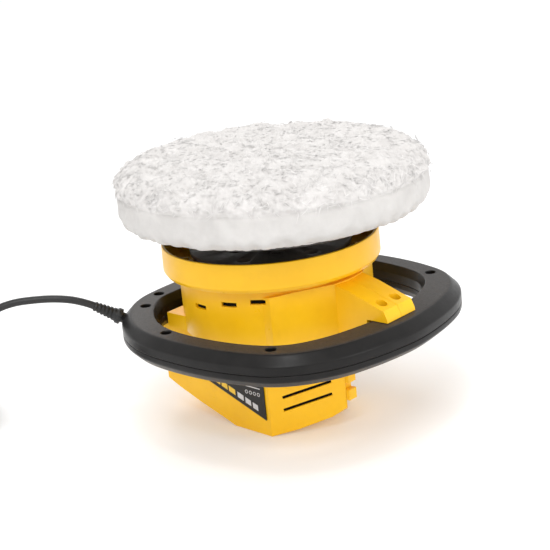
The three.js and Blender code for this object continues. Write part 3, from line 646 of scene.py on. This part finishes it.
# ---------------------------------------------------------------- name panels with plain marks
MRK_W = surface("mark_white", (0.55, 0.55, 0.56), (0.66, 0.66, 0.67), (0.35, 0.45), spots=300, grain=3000, bump=0.05)
MRK_Y = surface("mark_yellow", (0.80, 0.50, 0.03), (0.90, 0.58, 0.04), (0.35, 0.45), spots=300, grain=3000, bump=0.05)
for s, side in ((-1, "left"), (1, "right")):
    p_ = refined(f"name_panel_{side}", PAN, 0.25, 2, 30, name=f"panel_{side}")
    put(p_, "body", f"name_panel_{side}", slot="panel_film")
    # outer face of the panel: y on the flank line
    def face_y(x): return s * (47 + 0.0498 * (x - 25.5) + 1.16)
    quads = []
    def bar(x0, x1, z0, z1, slope, tgt):
        tgt.append([(x0, z0), (x1, z0 + slope * (x1 - x0)), (x1, z1 + slope * (x1 - x0)), (x0, z1)])
    W, Y = [], []
    sl = -22 / 66
    for i, (a, b) in enumerate(((-36, -27), (-25.5, -19), (-17.5, -10.5))):
        bar(a, b, 35.5 + sl * (a + 44) + 3.2, 35.5 + sl * (a + 44) + 7.9, sl, Y)
    for a, b in ((-8, -1.5), (0.5, 6.5), (8.5, 14)):
        bar(a, b, 35.5 + sl * (a + 44) + 3.2, 35.5 + sl * (a + 44) + 7.9, sl, W)
    for j, L in enumerate((22, 18, 20)):
        bar(18 - L * 0.8, 18, 38.3 + j * 2.6, 39.1 + j * 2.6, 0, W)
    bar(-34, -12, 55, 57.6, 0, W)
    for tag, rects, mt in (("w", W, MRK_W), ("y", Y, MRK_Y)):
        V, F = [], []
        for q in rects:
            b0 = len(V)
            for d in (0.0, 0.06):
                for x, z in q:
                    V.append((x * MM, (face_y(x) + s * d) * MM, z * MM))
            F += [(b0, b0 + 1, b0 + 2, b0 + 3), (b0 + 4, b0 + 5, b0 + 6, b0 + 7)] + [(b0 + i, b0 + (i + 1) % 4, b0 + 4 + (i + 1) % 4, b0 + 4 + i) for i in range(4)]
        if tag == "w":      # four small rings
            for c in range(4):
                cx, cz = 2.6 + c * 4.4, 33.6
                b0 = len(V)
                for i in range(24):
                    a = 2 * math.pi * i / 24
                    for r_, d in ((1.6, 0.0), (1.6, 0.06), (1.05, 0.06), (1.05, 0.0)):
                        x, z = cx + r_ * math.cos(a), cz + r_ * math.sin(a)
                        V.append((x * MM, (face_y(x) + s * d) * MM, z * MM))
                for i in range(24):
                    j = (i + 1) % 24
                    F += [(b0 + 4 * i + a, b0 + 4 * j + a, b0 + 4 * j + (a + 1) % 4, b0 + 4 * i + (a + 1) % 4) for a in range(4)]
        mk = obj_from(f"marks_{tag}_{side}", V, F, mt, 30)
        bm = bmesh.new(); bm.from_mesh(mk.data); bmesh.ops.recalc_face_normals(bm, faces=bm.faces); bm.to_mesh(mk.data); bm.free()
        put(mk, "body", slot="panel_film")

# ---------------------------------------------------------------- switch
put(refined("switch_case", SWM, 0.4, 2, 30, name="rocker_case"), "body", "switch_case", slot="switch_plastic")
put(refined("switch_rocker", SWM, 0.5, 3, 15, name="rocker"), "rocker", "switch_rocker", slot="switch_plastic")

# ---------------------------------------------------------------- motor
plain = [("lower_bearing", BRG, "bearing_steel"), ("upper_bearing", BRG, "bearing_steel"), ("bearing_bracket", INN, "inner_black"),
         ("stator_core", LAM, "machined_steel"), ("field_coil_left", COP, "copper"), ("field_coil_right", COP, "copper"),
         ("brush_holder_left", BRS, "brass"), ("brush_holder_right", BRS, "brass"), ("carbon_brush_left", CAR, "carbon"),
         ("carbon_brush_right", CAR, "carbon")]
for n_, m_, sl_ in plain:
    put(refined(n_, m_, 0.35, 2, 30), "body", n_, slot=sl_)
for n_, m_, sl_ in [("motor_shaft", STL, "machined_steel"), ("armature_core", LAM, "machined_steel"), ("armature_winding_low", COP, "copper"),
                    ("armature_winding_high", COP, "copper"), ("commutator", COP, "copper"), ("cooling_fan", INN, "inner_black"),
                    ("counterweight", STL, "machined_steel"), ("eccentric_hub", STL, "machined_steel"), ("pad_bearing", BRG, "bearing_steel")]:
    put(refined(n_, m_, 0.35, 2, 30), "rotor", n_, slot=sl_)

disc = turned("throw_disc", [(19, 134.3), (24, 134.3), (24, 141), (64, 141), (64, 144.5), (19, 144.5)], DSC, n=120, r=0.6, seg=3)
def disc_holes(bm):
    for i in range(6):
        a = i * math.pi / 3 + 0.35
        for r_, da in ((34, 0), (52, 0.5)):
            x, y = r_ * math.cos(a + da), r_ * math.sin(a + da)
            bm_cyl(bm, (x, y, 138), (x, y, 148), 5.6, 5.6, 28)
            bm_cyl(bm, (x, y, 144.0), (x, y, 145.2), 5.4, 7.0, 28)
carve(disc, disc_holes)
shade(disc, 40)
put(disc, "rotor", "balance_disc", slot="inner_black")

# ---------------------------------------------------------------- pad: spindle, plate, foam
OX = OY = 4.2
for n_, m_, sl_ in [("pad_spindle", STL, "machined_steel"), ("pad_washer", BRG, "machined_steel")]:
    put(refined(n_, m_, 0.35, 2, 30), "pad", n_, slot=sl_)
plate = turned("pad_plate", [(5.3, 147), (16, 147), (16, 159), (20, 162.3), (90, 162.3), (90, 166), (2.4, 166), (2.4, 162.2), (5.3, 162.2)],
               INN, n=128, x=OX, y=OY, r=0.7, seg=3)
bm = bmesh.new(); bm.from_mesh(plate.data)
for i in range(12):                                   # stiffening ribs under the plate
    bm_box(bm, (15, -0.9, 158.6), (72, 0.9, 163), Matrix.Translation((OX * MM, OY * MM, 0)) @ Matrix.Rotation(i * math.pi / 6, 4, "Z"))
bm.to_mesh(plate.data); bm.free()
shade(plate, 40)
put(plate, "pad", "backing_plate", slot="inner_black")
foam = turned("foam", [(13, 166.3), (90, 166.3), (97, 172.5), (111, 174.6), (115.7, 179.4), (117.0, 184), (117.0, 200), (115, 204.4),
                       (108.4, 208.3), (90, 211), (13, 212.4)], FOM, n=140, x=OX, y=OY, r=2.0, seg=4, smooth=60)
put(foam, "pad", "foam_pad", slot="pad_foam")

# ---------------------------------------------------------------- bonnet
# skin line from the crown's middle to the hem: radius, z
SKIN = [(0, 215.2), (30, 215.2), (60, 214.8), (90, 213.7), (108, 211.2), (117.4, 206.4), (120.4, 200), (120.8, 193), (120.9, 186), (120.5, 180),
        (118.6, 175), (114.6, 171.4), (109.6, 170.0)]
NA = 168
rows = catmull(SKIN, per=4)
seg_s = np.r_[0, np.cumsum(np.linalg.norm(np.diff(rows, axis=0), axis=1))]
S_N = 40
s_at = np.linspace(0, seg_s[-1], S_N)
rr, zz = np.interp(s_at, seg_s, rows[:, 0]), np.interp(s_at, seg_s, rows[:, 1])
ang = np.arange(NA) * 2 * math.pi / NA


def skin_grid(rr, zz):
    V = [(OX * MM, OY * MM, zz[0] * MM)]
    for k in range(1, len(rr)):
        for a in ang:
            V.append(((OX + rr[k] * math.cos(a)) * MM, (OY + rr[k] * math.sin(a)) * MM, zz[k] * MM))
    F = [(0, 1 + i, 1 + (i + 1) % NA) for i in range(NA)]
    for k in range(len(rr) - 2):
        for i in range(NA):
            j = (i + 1) % NA
            F.append((1 + k * NA + i, 1 + (k + 1) * NA + i, 1 + (k + 1) * NA + j, 1 + k * NA + j))
    return V, F


V, F = skin_grid(rr, zz)
skin0 = np.array(V)
sim = skin0.copy()
# the cover as cloth: cut a little larger than the pad, gathered at an elastic hem, blown out slightly from inside
so = obj_from("sim_skin", V, F, None, None)
rnd = random.Random(7)
for i, v in enumerate(so.data.vertices):
    p = v.co
    n_ = noise.noise(Vector((p.x * 60, p.y * 60, p.z * 60)))
    v.co += Vector((p.x, p.y, 0)).normalized() * n_ * 0.0006 + Vector((0, 0, n_ * 0.0006))
vg = so.vertex_groups.new(name="pin")
first_hem = 1 + (S_N - 3) * NA
vg.add(list(range(first_hem, len(V))), 1.0, "REPLACE")
inner = turned("sim_foam", [(0, 166.3), (90, 166.3), (97, 172.5), (111, 174.6), (115.7, 179.4), (117.4, 184), (117.4, 200), (115.2, 204.6),
                            (108.4, 208.6), (90, 211.2), (0, 212.6)], None, n=72, x=OX, y=OY)
inner.modifiers.new("hit", "COLLISION")
inner.collision.thickness_outer = 0.0015
cl = so.modifiers.new("cloth", "CLOTH")
st = cl.settings
st.quality, st.mass = 6, 0.25
st.tension_stiffness = st.compression_stiffness = 12
st.shear_stiffness, st.bending_stiffness = 4, 0.35
st.vertex_group_mass = "pin"
st.shrink_min = -0.018
st.use_pressure, st.uniform_pressure_force = True, 1.2
st.effector_weights.gravity = 0.0
cl.collision_settings.use_collision = True
cl.collision_settings.distance_min = 0.001
cl.point_cache.frame_start, cl.point_cache.frame_end = 1, 20
for f in range(1, 21):
    SC.frame_set(f)
dg = bpy.context.evaluated_depsgraph_get()
ev = so.evaluated_get(dg)
got = np.empty(len(V) * 3)
ev.data.vertices.foreach_get("co", got)
got = got.reshape(-1, 3)
move = got - skin0
far = np.linalg.norm(move, axis=1)
cap = 0.0022
move *= np.minimum(1.0, cap / np.maximum(far, 1e-9))[:, None]
sim = skin0 + move
bpy.data.objects.remove(so)
bpy.data.objects.remove(inner)
SC.frame_set(1)

so = obj_from("cover_skin", sim, F, None, None)
sub = so.modifiers.new("sub", "SUBSURF")
sub.levels = sub.render_levels = 2
apply_mods(so)
me = so.data
co = np.empty(len(me.vertices) * 3); me.vertices.foreach_get("co", co); co = co.reshape(-1, 3)
no = np.empty(len(me.vertices) * 3); me.vertices.foreach_get("normal", no); no = no.reshape(-1, 3)
if no[np.argmax(co[:, 2])][2] < 0:
    no = -no
rad = np.hypot(co[:, 0] - OX * MM, co[:, 1] - OY * MM)
tang = np.arctan2(co[:, 1] - OY * MM, co[:, 0] - OX * MM)


def fbm(P, scale, oct_=3, seed=0.0):
    out = np.empty(len(P))
    for i, p in enumerate(P):
        q = Vector((p[0] * scale + seed, p[1] * scale - seed, p[2] * scale + 2 * seed))
        out[i] = noise.fractal(q, 0.9, 2.1, oct_)
    return out


SEAM = 196.5 * MM
crown = np.clip((co[:, 2] - SEAM) / 0.003, 0, 1)
seam_dip = np.exp(-((co[:, 2] - SEAM) / 0.0016) ** 2)
lump = fbm(co, 62, 3, 3.1)
fine = fbm(co, 310, 2, 8.7)
wr = np.array([noise.noise(Vector((math.cos(t) * 9.5, math.sin(t) * 9.5, z * 45))) for t, z in zip(tang, co[:, 2])])
hemf = np.clip((180.0 * MM - co[:, 2]) / 0.009, 0, 1)
gather = np.sin(tang * 46 + 2.2 * np.sin(tang * 7)) * hemf
disp = crown * (lump * 0.0030 + fine * 0.0016 + 0.0010) + (1 - crown) * (wr * 0.0012 + fine * 0.0002) - seam_dip * 0.0010 + gather * 0.0011
co2 = co + no * disp[:, None]
co2[:, 2] += gather * 0.0009 * np.clip((174 * MM - co[:, 2]) / 0.004, 0, 1)
me.vertices.foreach_set("co", co2.ravel())
me.update()
# thickness, and a rolled elastic hem
th = so.modifiers.new("thick", "SOLIDIFY")
th.thickness, th.offset = 0.0016, -1.0
th.use_rim = True
apply_mods(so)
so.name = "cover"
so.data.materials.clear()
so.data.materials.append(BND)
so.data.materials.append(FLC)
for p in so.data.polygons:
    p.material_index = 1 if p.center.z > SEAM else 0
shade(so, 180)
V, F = [], []
NH, NQ = 480, 10
for i in range(NH):
    t = 2 * math.pi * i / NH
    w = math.sin(t * 46 + 2.2 * math.sin(t * 7))
    r0, z0 = 108.4 + 0.6 * w, 170.6 + 0.5 * w
    for k in range(NQ):
        b = 2 * math.pi * k / NQ
        V.append(((OX + (r0 + 1.7 * math.cos(b)) * math.cos(t)) * MM, (OY + (r0 + 1.7 * math.cos(b)) * math.sin(t)) * MM, (z0 + 1.2 * math.sin(b)) * MM))
for i in range(NH):
    j = (i + 1) % NH
    for k in range(NQ):
        l = (k + 1) % NQ
        F.append((i * NQ + k, j * NQ + k, j * NQ + l, i * NQ + l))
hem = obj_from("cover_hem", V, F, BND, 180)
bm = bmesh.new(); bm.from_mesh(hem.data); bmesh.ops.recalc_face_normals(bm, faces=bm.faces); bm.to_mesh(hem.data); bm.free()

# pile: tapered, curled tufts lying over the crown and its rim
rg = np.random.default_rng(11)
cand = np.where(crown > 0.6)[0]
NT = 5200
wt = (rad[cand] + 0.0005) * np.where(rad[cand] > 0.108, 1.7, 1.0)
pick = rg.choice(cand, NT, replace=True, p=wt / wt.sum())
Vt, Ft, Nt = [], [], []
SEG, SID = 3, 3
for i in pick:
    b = co2[i] + rg.normal(0, 0.0009, 3) - no[i] * 0.0002
    n_ = no[i]
    t_ = np.cross(n_, rg.normal(size=3)); t_ /= np.linalg.norm(t_)
    swirl = noise.noise_vector(Vector((b[0] * 26, b[1] * 26, 5.0)))
    t_ = t_ * 0.7 + np.array([swirl.x, swirl.y, 0]) * 1.6
    t_ -= n_ * (t_ @ n_); t_ /= (np.linalg.norm(t_) + 1e-9)
    L = rg.uniform(0.004, 0.009)
    w0 = rg.uniform(0.00026, 0.00046)
    lift = rg.uniform(0.04, 0.24)
    tilt = rg.normal(0, 0.45)
    s_ = np.cross(n_, t_)
    base = len(Vt)
    bend = rg.normal(0, 0.35)
    for k in range(SEG + 1):
        u = k / SEG
        c = b + t_ * (L * u) + n_ * (L * lift * (u - 0.75 * u * u) - 0.0003) + s_ * (L * bend * u * u)
        w = w0 * (1 - 0.85 * u) * (0.75 + 0.5 * math.sin(math.pi * min(1, u * 1.5)))
        for q in range(SID):
            a_ = 2 * math.pi * q / SID + tilt
            e = s_ * math.cos(a_) + n_ * math.sin(a_)
            Vt.append(c + e * w)
            Nt.append(n_ * 0.92 + e * 0.08)
    for k in range(SEG):
        for q in range(SID):
            r_ = (q + 1) % SID
            Ft.append((base + k * SID + q, base + k * SID + r_, base + (k + 1) * SID + r_, base + (k + 1) * SID + q))
pile = obj_from("cover_pile", Vt, Ft, PIL, None)
Nt = np.array(Nt); Nt /= np.linalg.norm(Nt, axis=1)[:, None]
shade(pile, 180)
pile.data.normals_split_custom_set_from_vertices([tuple(v) for v in Nt])
for o in (so, hem, pile):
    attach(o, "pad")
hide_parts("bonnet")
